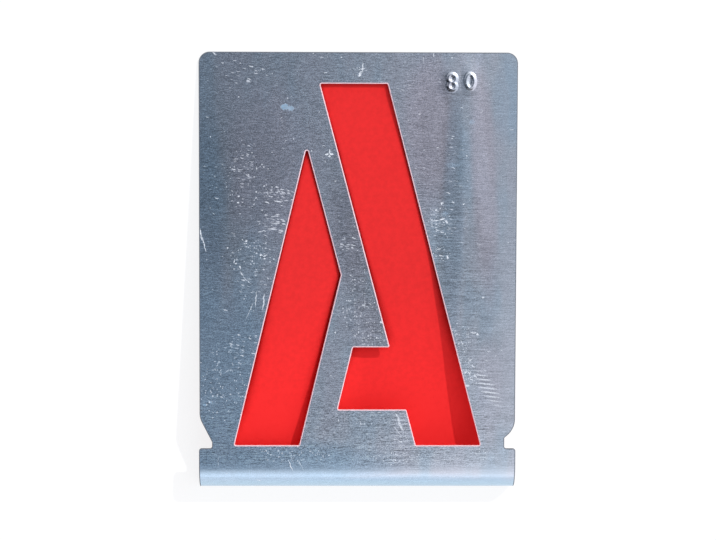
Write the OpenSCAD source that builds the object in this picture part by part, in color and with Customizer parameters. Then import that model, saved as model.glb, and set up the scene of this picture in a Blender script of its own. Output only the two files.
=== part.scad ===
// Lettering stencil for one capital A. It is a single plate of thin aluminium: blanked, the
// letter punched right through it, and its lower edge bent down into a lip. Two ties cross the
// letter and hold the metal inside it. A relief is cut into each side where the lip begins, so
// that the bend does not tear the plate.
//
// Sizes are in millimetres. The plate lies face up: X runs across it, Y towards the top of the
// letter, Z up. It rests on the free edge of the lip and on its own top edge, so it leans a
// little. The origin is on the surface that it lies on, at the middle of its outline.

/* [Sheet] */
// Width of the plate
plate_w = 70; // [66:0.5:110]
// Thickness of the sheet metal
sheet_t = 0.5; // [0.3:0.05:1]
// Radius of the two corners at the top
corner_r = 2.4; // [0.5:0.1:6]
// Metal between the top of the letter and the top edge
top_margin = 6.9; // [3:0.1:20]

/* [Letter] */
// Height of the letter
letter_h = 80; // [60:1:120]
// Width of the letter over both feet
letter_w = 54.6; // [50:0.1:60]
// Width of each leg where it stands on the base line
foot_w = 14.35; // [10:0.05:17]
// Width of the flat top, where the legs meet
apex_w = 14.8; // [10:0.05:18]
// Distance from the letter's middle line to the middle of its flat top
apex_x = -1; // [-4:0.1:4]
// Height of the crossbar above the base line
bar_y = 8; // [4:0.1:12]
// Thickness of the crossbar
bar_h = 13.9; // [8:0.1:16]
// Width of each tie, measured level
tie_w = 6.6; // [3:0.1:8]
// How far inside the flat top's left corner the left leg's outer side would end
tip_inset = 0.4; // [0:0.05:2]
// Radius that the punch leaves in the letter's corners
punch_r = 0.3; // [0.05:0.05:0.6]

/* [Lip] */
// Width of the lip
lip_w = 70.3; // [66:0.1:112]
// Drop from the base line of the letter to the shoulder of the lip
lip_y = 0.7; // [0:0.1:6]
// Flat band between the shoulder and the bend
lip_band = 3.8; // [1:0.1:12]
// Inside radius of the bend
bend_r = 5; // [1:0.1:8]
// Straight part of the lip below the bend
lip_drop = 2; // [1:0.1:15]
// Radius of the lip's corners, at its shoulders and at its free edge
lip_corner_r = 0.6; // [0.1:0.1:0.9]

/* [Side reliefs] */
// Radius where each side turns into its relief
shoulder_r = 4.8; // [0.5:0.1:6]
// Depth of the left relief
left_depth = 2.75; // [1:0.05:4]
// Angle that the left side turns in by
left_turn = 27; // [20:1:60]
// Height of the left relief's neck
left_neck = 1.4; // [1:0.1:4]
// Depth of the right relief
right_depth = 2.35; // [1:0.05:4]
// Angle that the right side turns in by
right_turn = 50; // [20:1:60]
// Height of the right relief's neck
right_neck = 2.4; // [1:0.1:4]
// Radius at the foot of each neck, where the relief meets the lip
neck_r = 0.5; // [0.1:0.05:0.7]

/* [Hidden] */
$fn = 64;

// Right angle that the lip is bent through
bend_angle = 90;
// Flat pieces in each rounded corner of a punched outline
arc_steps = 8;
// Share of an edge that a rounded corner may take up
arc_share = 0.95;
// Length by which punches run out past the metal on both faces
punch_over = 1;

// Heights in the flat plate, from the base line of the letter
top_y = letter_h + top_margin;
shoulder_y = -lip_y;
bend_y = shoulder_y - lip_band;

// Free edge of the lip: how far it hangs below the back face, and where its inner face lies
drop = bend_r + lip_drop;
lip_in_y = bend_y - bend_r;
lip_out_y = lip_in_y - sheet_t;

// Lean of the plate when both the lip and the top edge touch the surface below
lean = atan(drop / (top_y - lip_in_y));

// Reach of the leaning plate along Y, and the shift that puts the origin in its middle
reach_up = top_y * cos(lean) + sheet_t * sin(lean);
reach_down = -lip_out_y * cos(lean) + drop * sin(lean);
shift_y = (reach_down - reach_up) / 2;
shift_z = top_y * sin(lean);

// Unit vector that points from a to b
function toward(a, b) = (b - a) / norm(b - a);

// Arc that rounds the corner b between a and c. Its radius is r, or less on a short edge.
function corner_arc(a, b, c, r) =
    let (
        to_a = toward(b, a),
        to_c = toward(b, c),
        half = acos(to_a * to_c) / 2,
        longest = arc_share * min(norm(a - b), norm(c - b)) * tan(half),
        fit_r = min(r, longest),
        centre = b + toward([0, 0], to_a + to_c) * fit_r / sin(half),
        start = b + to_a * fit_r / tan(half) - centre,
        from = atan2(start.y, start.x),
        sweep = sign(cross(b - a, c - b)) * (180 - 2 * half)
    )
    [for (i = [0 : arc_steps]) centre + fit_r * [
        cos(from + sweep * i / arc_steps),
        sin(from + sweep * i / arc_steps)
    ]];

// Closed outline through corners that are given as [x, y, radius]
function rounded(corners) =
    let (
        n = len(corners),
        at = [for (c = corners) [c.x, c.y]]
    )
    [for (i = [0 : n - 1])
        each corners[i][2] > 0
            ? corner_arc(at[(i + n - 1) % n], at[i], at[(i + 1) % n], corners[i][2])
            : [at[i]]
    ];

// Place along X, at height y, of a stroke's edge that runs from foot_x to peak_x
function edge_x(foot_x, peak_x, y) = foot_x + (peak_x - foot_x) * y / letter_h;

// Height at which two edges cross
function crossing_y(foot_a, peak_a, foot_b, peak_b) =
    letter_h * (foot_b - foot_a) / ((foot_b - foot_a) - (peak_b - peak_a));

// Corners of the side relief from the lip's shoulder up to the side edge, right-hand side
function relief(depth, turn, neck) =
    let (
        neck_x = plate_w / 2 - depth,
        neck_y = shoulder_y + neck
    )
    [
        [lip_w / 2, shoulder_y, lip_corner_r],
        [neck_x, shoulder_y, neck_r],
        [neck_x, neck_y, 0],
        [plate_w / 2, neck_y + depth / tan(turn), shoulder_r]
    ];

// The same corners on the left, in the order that closes the outline
function mirrored(corners) = [for (i = [len(corners) - 1 : -1 : 0]) [
    -corners[i].x, corners[i].y, corners[i][2]
]];

// Level edges of the letter's strokes, at its feet and at its flat top
outer_x = letter_w / 2;
inner_x = outer_x - foot_w;
peak_left = apex_x - apex_w / 2;
peak_right = apex_x + apex_w / 2;
tip_side = peak_left + tip_inset;

// Outline of the flat plate, from the bend up to the top edge
module plate_outline() {
    polygon(rounded(concat(
        [[lip_w / 2, bend_y, 0]],
        relief(right_depth, right_turn, right_neck),
        [[plate_w / 2, top_y, corner_r], [-plate_w / 2, top_y, corner_r]],
        mirrored(relief(left_depth, left_turn, left_neck)),
        [[-lip_w / 2, bend_y, 0]]
    )));
}

// Right opening: the whole right leg with the crossbar, which stops at the lower tie
module right_opening() {
    bar_top = bar_y + bar_h;
    function leg_x(y) = edge_x(inner_x, peak_left, y);
    function bar_end_x(y) = edge_x(-inner_x, peak_right, y) + tie_w;
    polygon(rounded([
        [outer_x, 0, punch_r],
        [peak_right, letter_h, punch_r],
        [peak_left, letter_h, punch_r],
        [leg_x(bar_top), bar_top, punch_r],
        [bar_end_x(bar_top), bar_top, punch_r],
        [bar_end_x(bar_y), bar_y, punch_r],
        [leg_x(bar_y), bar_y, punch_r],
        [inner_x, 0, punch_r]
    ]));
}

// Left opening: the left leg, cut off slantwise by the upper tie
module left_opening() {
    tie_foot = inner_x - tie_w;
    tie_peak = peak_left - tie_w;
    tip_y = crossing_y(-outer_x, tip_side, tie_foot, tie_peak);
    knee_y = crossing_y(-inner_x, peak_right, tie_foot, tie_peak);
    polygon(rounded([
        [-inner_x, 0, punch_r],
        [edge_x(tie_foot, tie_peak, knee_y), knee_y, punch_r],
        [edge_x(tie_foot, tie_peak, tip_y), tip_y, punch_r],
        [-outer_x, 0, punch_r]
    ]));
}

// Flat part of the plate with the letter punched through it. Its back face is at z = 0.
module flat_plate() {
    difference() {
        linear_extrude(sheet_t)
            plate_outline();
        translate([0, 0, -punch_over])
            linear_extrude(sheet_t + 2 * punch_over) {
                right_opening();
                left_opening();
            }
    }
}

// Bend between the flat plate and the straight part of the lip
module bend() {
    translate([0, bend_y, -bend_r])
        rotate([0, 90, 0])
            rotate([0, 0, 180])
                rotate_extrude(angle = bend_angle)
                    translate([bend_r, -lip_w / 2])
                        square([sheet_t, lip_w]);
}

// Straight part of the lip, with its free corners rounded
module lip() {
    translate([0, lip_in_y, 0])
        rotate([90, 0, 0])
            linear_extrude(sheet_t)
                polygon(rounded([
                    [lip_w / 2, -bend_r, 0],
                    [-lip_w / 2, -bend_r, 0],
                    [-lip_w / 2, -drop, lip_corner_r],
                    [lip_w / 2, -drop, lip_corner_r]
                ]));
}

// The whole plate, laid down on its lip and its top edge
module stencil_plate() {
    color([0.66, 0.70, 0.75])
        translate([0, shift_y, shift_z])
            rotate([-lean, 0, 0]) {
                flat_plate();
                bend();
                lip();
            }
}

stencil_plate();
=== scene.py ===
"""Looks of the lettering stencil: one folded aluminium plate with the letter punched through it.

The blank is meshed flat, in millimetres, with its sheared edges and its raised number. A Geometry
Nodes tree then folds its lower edge down into the lip and lays the plate on the lip and on its own
top edge, where the solid lies. The red card under the letter and the white floor are the stage.
"""

import logging
import math
from collections.abc import Sequence
from dataclasses import dataclass
from enum import Enum
from typing import NamedTuple

import bpy
import numpy as np
from mathutils import Matrix, Vector
from mathutils.geometry import delaunay_2d_cdt


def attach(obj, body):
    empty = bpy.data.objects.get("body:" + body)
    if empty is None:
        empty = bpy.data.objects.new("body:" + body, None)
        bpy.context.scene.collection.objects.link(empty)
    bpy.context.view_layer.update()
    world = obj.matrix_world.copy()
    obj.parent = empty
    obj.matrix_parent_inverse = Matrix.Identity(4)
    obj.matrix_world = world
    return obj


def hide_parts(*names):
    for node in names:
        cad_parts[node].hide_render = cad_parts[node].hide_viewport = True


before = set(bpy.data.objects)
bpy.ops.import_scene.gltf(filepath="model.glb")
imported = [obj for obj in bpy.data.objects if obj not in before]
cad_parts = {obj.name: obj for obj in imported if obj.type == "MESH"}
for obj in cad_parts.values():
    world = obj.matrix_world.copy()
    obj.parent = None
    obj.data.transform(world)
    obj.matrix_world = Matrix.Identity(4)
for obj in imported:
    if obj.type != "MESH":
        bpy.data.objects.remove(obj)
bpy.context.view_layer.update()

MM = 0.001
BLANK_PLACE = "blank_place"
CUT_EDGE = "cut_edge"
STROKE_GAP = "stroke_gap"
TINY = 0.000001

Colour = tuple[float, ...]

log = logging.getLogger("stencil")


# Formulas and nodes


@dataclass(frozen=True)
class Term:
    """A value in a node tree. Formulas are written with it as with numbers."""

    wiring: "Wiring"
    socket: bpy.types.NodeSocket

    def __add__(self, other: "Term | float") -> "Term":
        """Sum."""
        return self.wiring.math("ADD", self, other)

    def __sub__(self, other: "Term | float") -> "Term":
        """Difference."""
        return self.wiring.math("SUBTRACT", self, other)

    def __rsub__(self, other: float) -> "Term":
        """Difference from a plain number."""
        return self.wiring.math("SUBTRACT", other, self)

    def __mul__(self, other: "Term | float") -> "Term":
        """Product."""
        return self.wiring.math("MULTIPLY", self, other)

    def __truediv__(self, other: "Term | float") -> "Term":
        """Quotient."""
        return self.wiring.math("DIVIDE", self, other)

    __radd__ = __add__
    __rmul__ = __mul__


Feed = Term | float | tuple | str | bpy.types.Material | None
Feeds = dict[str | int, Feed]


class Ramp(NamedTuple):
    """A smooth rise from start to end while a value goes from low to high."""

    low: float
    high: float
    start: float = 0
    end: float = 1


class Wiring:
    """Adds nodes to one tree and joins them up."""

    def __init__(self, tree: bpy.types.NodeTree) -> None:
        """Starts with an empty tree.

        Args:
            tree: The node tree that is filled.
        """
        self.tree = tree
        tree.nodes.clear()

    def add(self, kind: str, feeds: Feeds | None = None, **settings: object) -> bpy.types.Node:
        """Adds a node.

        Args:
            kind: The node's type.
            feeds: What goes into its inputs, by name or number.
            **settings: The node's own properties.

        Returns:
            The new node.
        """
        node = self.tree.nodes.new(kind)
        for name, value in settings.items():
            setattr(node, name, value)
        for name, value in (feeds or {}).items():
            self.feed(node.inputs[name], value)
        return node

    def feed(self, socket: bpy.types.NodeSocket, value: Feed) -> None:
        """Joins a term to an input, or sets the input to a plain value."""
        if isinstance(value, Term):
            self.tree.links.new(socket, value.socket)
        elif value is not None:
            socket.default_value = value

    def term(self, node: bpy.types.Node, output: str | int = 0) -> Term:
        """An output of a node as a term."""
        return Term(self, node.outputs[output])

    def math(self, operation: str, *values: Term | float, clamp: bool = False) -> Term:
        """A Math node on up to three values."""
        feeds: Feeds = dict(enumerate(values))
        return self.term(self.add("ShaderNodeMath", feeds, operation=operation, use_clamp=clamp))

    def ramp(self, value: Term, ramp: Ramp) -> Term:
        """A value sent through a ramp."""
        names = ("Value", "From Min", "From Max", "To Min", "To Max")
        feeds: Feeds = dict(zip(names, (value, *ramp)))
        node = self.add("ShaderNodeMapRange", feeds, interpolation_type="SMOOTHSTEP")
        return self.term(node, "Result")

    def split(self, vector: Term) -> tuple[Term, Term, Term]:
        """The three parts of a vector."""
        node = self.add("ShaderNodeSeparateXYZ", {0: vector})
        return self.term(node, 0), self.term(node, 1), self.term(node, 2)

    def join(self, x: Term | float, y: Term | float, z: Term | float) -> Term:
        """A vector from its three parts."""
        return self.term(self.add("ShaderNodeCombineXYZ", {0: x, 1: y, 2: z}))

    def stretch(self, vector: Term, x: float, y: float, z: float) -> Term:
        """A vector with each part multiplied."""
        feeds = {0: vector, 1: (x, y, z)}
        return self.term(self.add("ShaderNodeVectorMath", feeds, operation="MULTIPLY"))

    def noise(self, place: Term, scale: float, detail: float = 2.0, rough: float = 0.5) -> Term:
        """Cloudy noise between 0 and 1 at a number of features per unit of length."""
        feeds = {"Vector": place, "Scale": scale, "Detail": detail, "Roughness": rough}
        return self.term(self.add("ShaderNodeTexNoise", feeds), 0)

    def blend(self, share: Term | float, first: Feed, second: Feed, how: str = "MIX") -> Term:
        """One colour laid over another by a share."""
        feeds = {0: share, 6: first, 7: second}
        return self.term(self.add("ShaderNodeMix", feeds, data_type="RGBA", blend_type=how), 2)

    def shaded(self, colour: Feed, shade: Term) -> Term:
        """A colour made lighter or darker by a factor."""
        return self.blend(1.0, colour, self.join(shade, shade, shade), "MULTIPLY")

    def attribute(self, name: str, output: str) -> Term:
        """An attribute of the mesh, as a vector or as a factor."""
        return self.term(self.add("ShaderNodeAttribute", attribute_name=name), output)

    def bump(self, height: Term, depth: float) -> Term:
        """The direction of a surface with a relief of a depth in metres."""
        feeds = {"Strength": 1.0, "Distance": depth, "Height": height}
        return self.term(self.add("ShaderNodeBump", feeds))

    def surface(self, feeds: Feeds) -> None:
        """Ends a material with a Principled shader."""
        shader = self.add("ShaderNodeBsdfPrincipled", feeds)
        self.add("ShaderNodeOutputMaterial", {0: self.term(shader)})


def new_material(name: str) -> tuple[bpy.types.Material, Wiring]:
    """A named material and the wiring of its empty tree."""
    material = bpy.data.materials.new(name)
    material.use_nodes = True
    return material, Wiring(material.node_tree)


def placed(name: str, data: bpy.types.ID) -> bpy.types.Object:
    """A new object in the scene."""
    thing = bpy.data.objects.new(name, data)
    bpy.context.scene.collection.objects.link(thing)
    return thing


# Outlines


@dataclass(frozen=True)
class Corner:
    """A corner of an outline on the flat blank, in millimetres."""

    x: float
    y: float
    radius: float = 0.0


def rounded(corners: Sequence[Corner], steps: int = 10, arc_share: float = 0.95) -> np.ndarray:
    """Draws a closed outline with rounded corners.

    Args:
        corners: The corners in order.
        steps: Straight pieces in each rounded corner.
        arc_share: Share of an edge that a rounded corner may take up.

    Returns:
        Points along the outline, one row each.
    """
    at = np.array([(c.x, c.y) for c in corners])
    points = []
    for i, corner in enumerate(corners):
        here, before, after = at[i], at[i - 1], at[(i + 1) % len(at)]
        if corner.radius == 0:
            points.append(here)
            continue
        in_length, out_length = np.linalg.norm(before - here), np.linalg.norm(after - here)
        to_before, to_after = (before - here) / in_length, (after - here) / out_length
        half = math.acos(float(to_before @ to_after)) / 2
        radius = min(corner.radius, arc_share * min(in_length, out_length) * math.tan(half))
        middle = to_before + to_after
        centre = here + middle / np.linalg.norm(middle) * radius / math.sin(half)
        arm = here + to_before * radius / math.tan(half) - centre
        left_turn = to_before[1] * to_after[0] - to_before[0] * to_after[1]
        sweep = math.copysign(math.pi - 2 * half, left_turn)
        for turn in np.linspace(0, sweep, steps + 1):
            c, s = math.cos(turn), math.sin(turn)
            points.append(centre + (c * arm[0] - s * arm[1], s * arm[0] + c * arm[1]))
    return np.array(points)


def divided(
    loop: np.ndarray, longest: float, rows: Sequence[float] = (), least: float = 0.02
) -> np.ndarray:
    """Adds points to a closed outline.

    Args:
        loop: The outline's points.
        longest: The longest straight piece that is left.
        rows: Heights at which the outline gets a point wherever it crosses them.
        least: Least share of a straight piece between its ends and an added point.

    Returns:
        The outline with the added points.
    """
    points = []
    for a, b in zip(loop, np.roll(loop, -1, 0)):
        stops = set(np.linspace(0, 1, int(np.linalg.norm(b - a) // longest) + 2)[:-1])
        if abs(b[1] - a[1]) > TINY:
            crossings = (np.array(rows) - a[1]) / (b[1] - a[1])
            found = [float(c) for c in crossings if least < c < 1 - least]
            if found:
                stops = {0.0, *found}
        points += [a + (b - a) * stop for stop in sorted(stops)]
    return np.array(points)


def inset(loop: np.ndarray, depth: float) -> np.ndarray:
    """Moves a closed outline to its left, into the metal, by the same depth all along."""
    ahead = np.roll(loop, -1, 0) - loop
    ahead /= np.linalg.norm(ahead, axis=1, keepdims=True)
    normal = np.stack((-ahead[:, 1], ahead[:, 0]), 1)
    before = np.roll(normal, 1, 0)
    share = 1 + (normal * before).sum(1, keepdims=True)
    return loop + depth * (normal + before) / share


def enclosed(points: np.ndarray, loops: Sequence[np.ndarray]) -> np.ndarray:
    """Tells which points lie inside an odd number of closed outlines."""
    odd = np.zeros(len(points), bool)
    x, y = points[:, :1], points[:, 1:]
    for loop in loops:
        a, b = loop, np.roll(loop, -1, 0)
        spans = (a[:, 1] > y) != (b[:, 1] > y)
        rise = np.where(b[:, 1] == a[:, 1], 1.0, b[:, 1] - a[:, 1])
        crossing = a[:, 0] + (y - a[:, 1]) * (b[:, 0] - a[:, 0]) / rise
        odd ^= ((spans & (x < crossing)).sum(1) % 2).astype(bool)
    return odd


def nearest(points: np.ndarray, marks: np.ndarray, at_once: int = 200) -> np.ndarray:
    """Distance from each point to the nearest of the marks, taken some at once."""
    least = np.full(len(points), np.inf)
    for part in np.array_split(marks, max(1, len(marks) // at_once)):
        gaps = np.linalg.norm(points[:, None] - part[None], axis=2)
        least = np.minimum(least, gaps.min(1))
    return least


def grid(across: np.ndarray, along: np.ndarray) -> np.ndarray:
    """Points where columns across the plate meet rows along it."""
    x, y = np.meshgrid(across, along)
    return np.stack((x.ravel(), y.ravel()), 1)


# The raised number


@dataclass(frozen=True)
class Stroke:
    """A closed oval stroke of a raised figure: its centre and its size, in millimetres."""

    x: float
    y: float
    width: float
    height: float

    def crest(self, count: int = 120) -> np.ndarray:
        """Points along the top of the stroke."""
        turn = np.linspace(0, 2 * math.pi, count, endpoint=False)
        across, along = np.cos(turn) * self.width / 2, np.sin(turn) * self.height / 2
        return np.stack((self.x + across, self.y + along), 1)


@dataclass(frozen=True)
class RaisedNumber:
    """The height of the letter, pressed up from behind. Its back is hollow.

    Sizes are in millimetres on the flat blank.
    """

    strokes: tuple[Stroke, ...] = (
        Stroke(20.55, 81.22, 1.62, 1.66),
        Stroke(20.55, 79.62, 1.5, 1.54),
        Stroke(24.52, 80.64, 1.72, 2.95),
    )
    rise: float = 0.3
    half_width: float = 0.68
    back_half_width: float = 0.56
    swell: float = 0.05
    swell_reach: float = 1.9
    margin: float = 2.2
    pitch: float = 0.12

    def crests(self) -> np.ndarray:
        """Points along the tops of all the strokes."""
        return np.concatenate([stroke.crest() for stroke in self.strokes])

    def gap(self, points: np.ndarray) -> np.ndarray:
        """Distance from each place on the flat blank to the nearest stroke's top."""
        return nearest(points, self.crests())

    def lift(self, gap: np.ndarray, front: bool) -> np.ndarray:
        """Height that the number adds to a face of the plate.

        Args:
            gap: Distance from each place to the nearest stroke's top.
            front: Whether the face is the front one.

        Returns:
            The added height at each place.
        """
        half = self.half_width if front else self.back_half_width
        ridge = np.cos(math.pi / 2 * np.minimum(gap / half, 1)) ** 2
        return self.rise * ridge + self.swell * np.exp(-((gap / self.swell_reach) ** 2))

    def field(self) -> tuple[np.ndarray, np.ndarray]:
        """Corners of the area that gets a fine mesh."""
        crests = self.crests()
        return crests.min(0) - self.margin, crests.max(0) + self.margin


# The plate


@dataclass(frozen=True)
class ShearedRim:
    """Section of every cut edge: rolled over at the front, straight, a burr at the back."""

    roll_in: float = 0.13
    roll_down: float = 0.11
    burr: float = 0.05
    support: float = 0.1
    turns: tuple[float, ...] = (0, 22.5, 45, 67.5, 90)

    def section(self, thickness: float) -> list[tuple[float, float]]:
        """Depth into the metal and height above the back face, from front to back."""
        rows = [(self.roll_in + self.support, thickness)]
        for degrees in self.turns:
            turn = math.radians(degrees)
            across = self.roll_in * (1 - math.sin(turn))
            rows.append((across, thickness - self.roll_down * (1 - math.cos(turn))))
        return rows + [(0, self.burr), (self.burr, 0), (self.roll_in + self.support, 0)]


class Relief(NamedTuple):
    """A cut in the plate's side above the lip: its depth, its angle and its neck's height."""

    depth: float
    turn: float
    neck: float


@dataclass
class StencilPlate:
    """The whole stencil: one plate with the letter punched through it and its lip folded down.

    Sizes are in millimetres and angles in degrees, as the solid has them.
    """

    plate_w: float = 70
    sheet_t: float = 0.5
    corner_r: float = 2.4
    top_margin: float = 6.9
    letter_h: float = 80
    letter_w: float = 54.6
    foot_w: float = 14.35
    apex_w: float = 14.8
    apex_x: float = -1
    bar_y: float = 8
    bar_h: float = 13.9
    tie_w: float = 6.6
    tip_inset: float = 0.4
    punch_r: float = 0.3
    lip_w: float = 70.3
    lip_y: float = 0.7
    lip_band: float = 3.8
    bend_r: float = 5
    lip_drop: float = 2
    lip_corner_r: float = 0.6
    shoulder_r: float = 4.8
    left_relief: Relief = Relief(2.75, 27, 1.4)
    right_relief: Relief = Relief(2.35, 50, 2.4)
    neck_r: float = 0.5
    rim: ShearedRim = ShearedRim(0.1, 0.09)
    letter_rim: ShearedRim = ShearedRim()
    number: RaisedNumber = RaisedNumber()
    pitch: float = 1.4
    bend_rows: int = 22
    lip_shares: tuple[float, ...] = (0.3, 0.6)
    merge_gap: float = 0.00001

    def __post_init__(self) -> None:
        """Works out the heights that follow from the sizes."""
        self.top_y = self.letter_h + self.top_margin
        self.bend_y = -self.lip_y - self.lip_band
        self.bend_length = self.bend_r * math.pi / 2
        self.end_y = self.bend_y - self.bend_length - self.lip_drop
        drop = self.bend_r + self.lip_drop
        lip_in_y = self.bend_y - self.bend_r
        lip_out_y = lip_in_y - self.sheet_t
        self.lean = math.atan(drop / (self.top_y - lip_in_y))
        c, s = math.cos(self.lean), math.sin(self.lean)
        reach_up = self.top_y * c + self.sheet_t * s
        reach_down = -lip_out_y * c + drop * s
        self.shift_y = (reach_down - reach_up) / 2
        self.shift_z = self.top_y * s

    def relief(self, cut: Relief) -> list[Corner]:
        """Corners of a side relief on the right, from the lip's shoulder up to the side."""
        neck_x, neck_y = self.plate_w / 2 - cut.depth, cut.neck - self.lip_y
        side_y = neck_y + cut.depth / math.tan(math.radians(cut.turn))
        return [
            Corner(self.lip_w / 2, -self.lip_y, self.lip_corner_r),
            Corner(neck_x, -self.lip_y, self.neck_r),
            Corner(neck_x, neck_y, self.punch_r),
            Corner(self.plate_w / 2, side_y, self.shoulder_r),
        ]

    def outline(self) -> list[Corner]:
        """Corners of the unfolded blank, counter-clockwise."""
        half, lip_half = self.plate_w / 2, self.lip_w / 2
        left = [Corner(-c.x, c.y, c.radius) for c in reversed(self.relief(self.left_relief))]
        return [
            Corner(lip_half, self.end_y, self.lip_corner_r),
            *self.relief(self.right_relief),
            Corner(half, self.top_y, self.corner_r),
            Corner(-half, self.top_y, self.corner_r),
            *left,
            Corner(-lip_half, self.end_y, self.lip_corner_r),
        ]

    def openings(self) -> list[list[Corner]]:
        """Corners of the two openings that make the letter, clockwise."""
        outer = self.letter_w / 2
        inner = outer - self.foot_w
        peak_left, peak_right = self.apex_x - self.apex_w / 2, self.apex_x + self.apex_w / 2
        bar_top = self.bar_y + self.bar_h

        def edge(foot: float, peak: float, y: float) -> float:
            """Place across the plate of a stroke's edge at a height."""
            return foot + (peak - foot) * y / self.letter_h

        def crossing(foot_a: float, peak_a: float, foot_b: float, peak_b: float) -> float:
            """Height at which two edges cross."""
            gap = foot_b - foot_a
            return self.letter_h * gap / (gap - (peak_b - peak_a))

        right = [
            (outer, 0),
            (peak_right, self.letter_h),
            (peak_left, self.letter_h),
            (edge(inner, peak_left, bar_top), bar_top),
            (edge(-inner, peak_right, bar_top) + self.tie_w, bar_top),
            (edge(-inner, peak_right, self.bar_y) + self.tie_w, self.bar_y),
            (edge(inner, peak_left, self.bar_y), self.bar_y),
            (inner, 0),
        ]
        tie_foot, tie_peak = inner - self.tie_w, peak_left - self.tie_w
        tip_y = crossing(-outer, peak_left + self.tip_inset, tie_foot, tie_peak)
        knee_y = crossing(-inner, peak_right, tie_foot, tie_peak)
        left = [
            (-inner, 0),
            (edge(tie_foot, tie_peak, knee_y), knee_y),
            (edge(tie_foot, tie_peak, tip_y), tip_y),
            (-outer, 0),
        ]
        return [[Corner(x, y, self.punch_r) for x, y in reversed(o)] for o in (right, left)]

    def bend_heights(self) -> np.ndarray:
        """Heights of the mesh's rows along the bend."""
        return self.bend_y - self.bend_length * np.linspace(0, 1, self.bend_rows + 1)

    def loops(self) -> list[np.ndarray]:
        """Every cut edge as a line with the metal on its left."""
        rows = self.bend_heights()
        outlines = [self.outline(), *self.openings()]
        return [divided(rounded(corners), self.pitch, rows) for corners in outlines]

    def inner_points(self, loops: Sequence[np.ndarray]) -> np.ndarray:
        """Mesh points of a face away from its edges: fine at the number, in rows at the bend."""
        step, clear = self.pitch, self.pitch / 3
        flat_rows = np.arange(self.bend_y + step, self.top_y, step)
        bend_rows = self.bend_heights()
        lip_rows = bend_rows[-1] - self.lip_drop * np.array(self.lip_shares)
        across = np.arange(-self.plate_w / 2, self.plate_w / 2, step)
        coarse = grid(across, np.concatenate((lip_rows, bend_rows, flat_rows)))
        low, high = self.number.field()
        pitch = self.number.pitch
        fine = grid(np.arange(low[0], high[0], pitch), np.arange(low[1], high[1], pitch))
        apart = ((coarse < low - clear) | (coarse > high + clear)).any(1)
        points = np.concatenate((coarse[apart], fine))
        points = points[enclosed(points, loops)]
        rim = np.concatenate([divided(loop, step / 4) for loop in loops])
        return points[nearest(points, rim) > clear]

    def face(self, loops: Sequence[np.ndarray], inner: np.ndarray) -> np.ndarray:
        """Fills a face with triangles.

        Args:
            loops: The face's closed edges.
            inner: Points between them.

        Returns:
            Corners of each triangle, as numbers of points: the edges' first, then the inner.
        """
        points = np.concatenate((*loops, inner))
        edges, start = [], 0
        for loop in loops:
            count = len(loop)
            edges += [(start + i, start + (i + 1) % count) for i in range(count)]
            start += count
        flat, inside_edges = [Vector(p) for p in points], 1
        found = delaunay_2d_cdt(flat, edges, [], inside_edges, self.merge_gap)
        source = [numbers[0] for numbers in found[3]]
        triangles = np.array([[source[i] for i in triangle] for triangle in found[2]])
        triangles = triangles[enclosed(points[triangles].mean(1), loops)]
        a, b, c = (points[triangles[:, i]] for i in range(3))
        area = (b - a)[:, 0] * (c - a)[:, 1] - (b - a)[:, 1] * (c - a)[:, 0]
        triangles[area < 0] = triangles[area < 0][:, ::-1]
        return triangles

    def blank(self) -> bpy.types.Mesh:
        """Meshes the flat blank: front face, cut edges and back face, in millimetres."""
        loops = self.loops()
        rims = [self.rim, *[self.letter_rim] * (len(loops) - 1)]
        sections = [rim.section(self.sheet_t) for rim in rims]
        section = sections[0]
        layers = []
        for row in zip(*sections):
            rings = [inset(loop, depth) for loop, (depth, _) in zip(loops, row)]
            levels = [np.full(len(loop), height) for loop, (_, height) in zip(loops, row)]
            if not layers:
                first = rings
            layers.append((np.concatenate(rings), np.concatenate(levels)))
        inner = self.inner_points(first)
        layers += [(inner, self.sheet_t), (inner, 0.0)]
        spots, heights, gaps = [], [], []
        for number, (flat, height) in enumerate(layers):
            front = number in (0, len(section))
            back = number in (len(section) - 1, len(section) + 1)
            gap = self.number.gap(flat)
            lift = self.number.lift(gap, front) if front or back else 0.0
            spots.append(flat)
            heights.append(height + lift)
            gaps.append(gap)
        places = np.column_stack((np.concatenate(spots), np.concatenate(heights)))

        ring = len(layers[0][0])
        triangles = self.face(first, inner)
        front = np.where(triangles < ring, triangles, triangles + (len(section) - 1) * ring)
        back = triangles[:, ::-1] + (len(section) - 1) * ring
        back = np.where(back < len(section) * ring, back, back + len(inner))
        faces = front.tolist() + back.tolist()
        cut = [False] * len(faces)
        start = 0
        for loop in loops:
            count = len(loop)
            for i in range(count):
                a, b = start + i, start + (i + 1) % count
                for row in range(len(section) - 1):
                    out, here = (row + 1) * ring, row * ring
                    faces.append([out + a, out + b, here + b, here + a])
                    cut.append(row < len(section) - 2)
            start += count

        mesh = bpy.data.meshes.new("stencil_blank")
        mesh.from_pydata(places.tolist(), [], faces)
        place = mesh.attributes.new(BLANK_PLACE, "FLOAT_VECTOR", "POINT")
        place.data.foreach_set("vector", places.astype(np.float32).ravel())
        stroke = mesh.attributes.new(STROKE_GAP, "FLOAT", "POINT")
        stroke.data.foreach_set("value", np.concatenate(gaps).astype(np.float32))
        marked = mesh.attributes.new(CUT_EDGE, "BOOLEAN", "FACE")
        marked.data.foreach_set("value", cut)
        mesh.polygons.foreach_set("use_smooth", [True] * len(mesh.polygons))
        mesh.update()
        return mesh

    def build(self, face: bpy.types.Material, edge: bpy.types.Material) -> bpy.types.Object:
        """Makes the finished plate.

        Args:
            face: The finish of the sheet's two faces.
            edge: The finish of its cut edges.

        Returns:
            The plate, which stands for the solid.
        """
        fold = LipFold(self)
        plate = placed("folded_stencil_plate", fold.folded(self.blank(), face, edge))
        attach(plate, "root")
        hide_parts("stencil_plate")
        return plate


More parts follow.
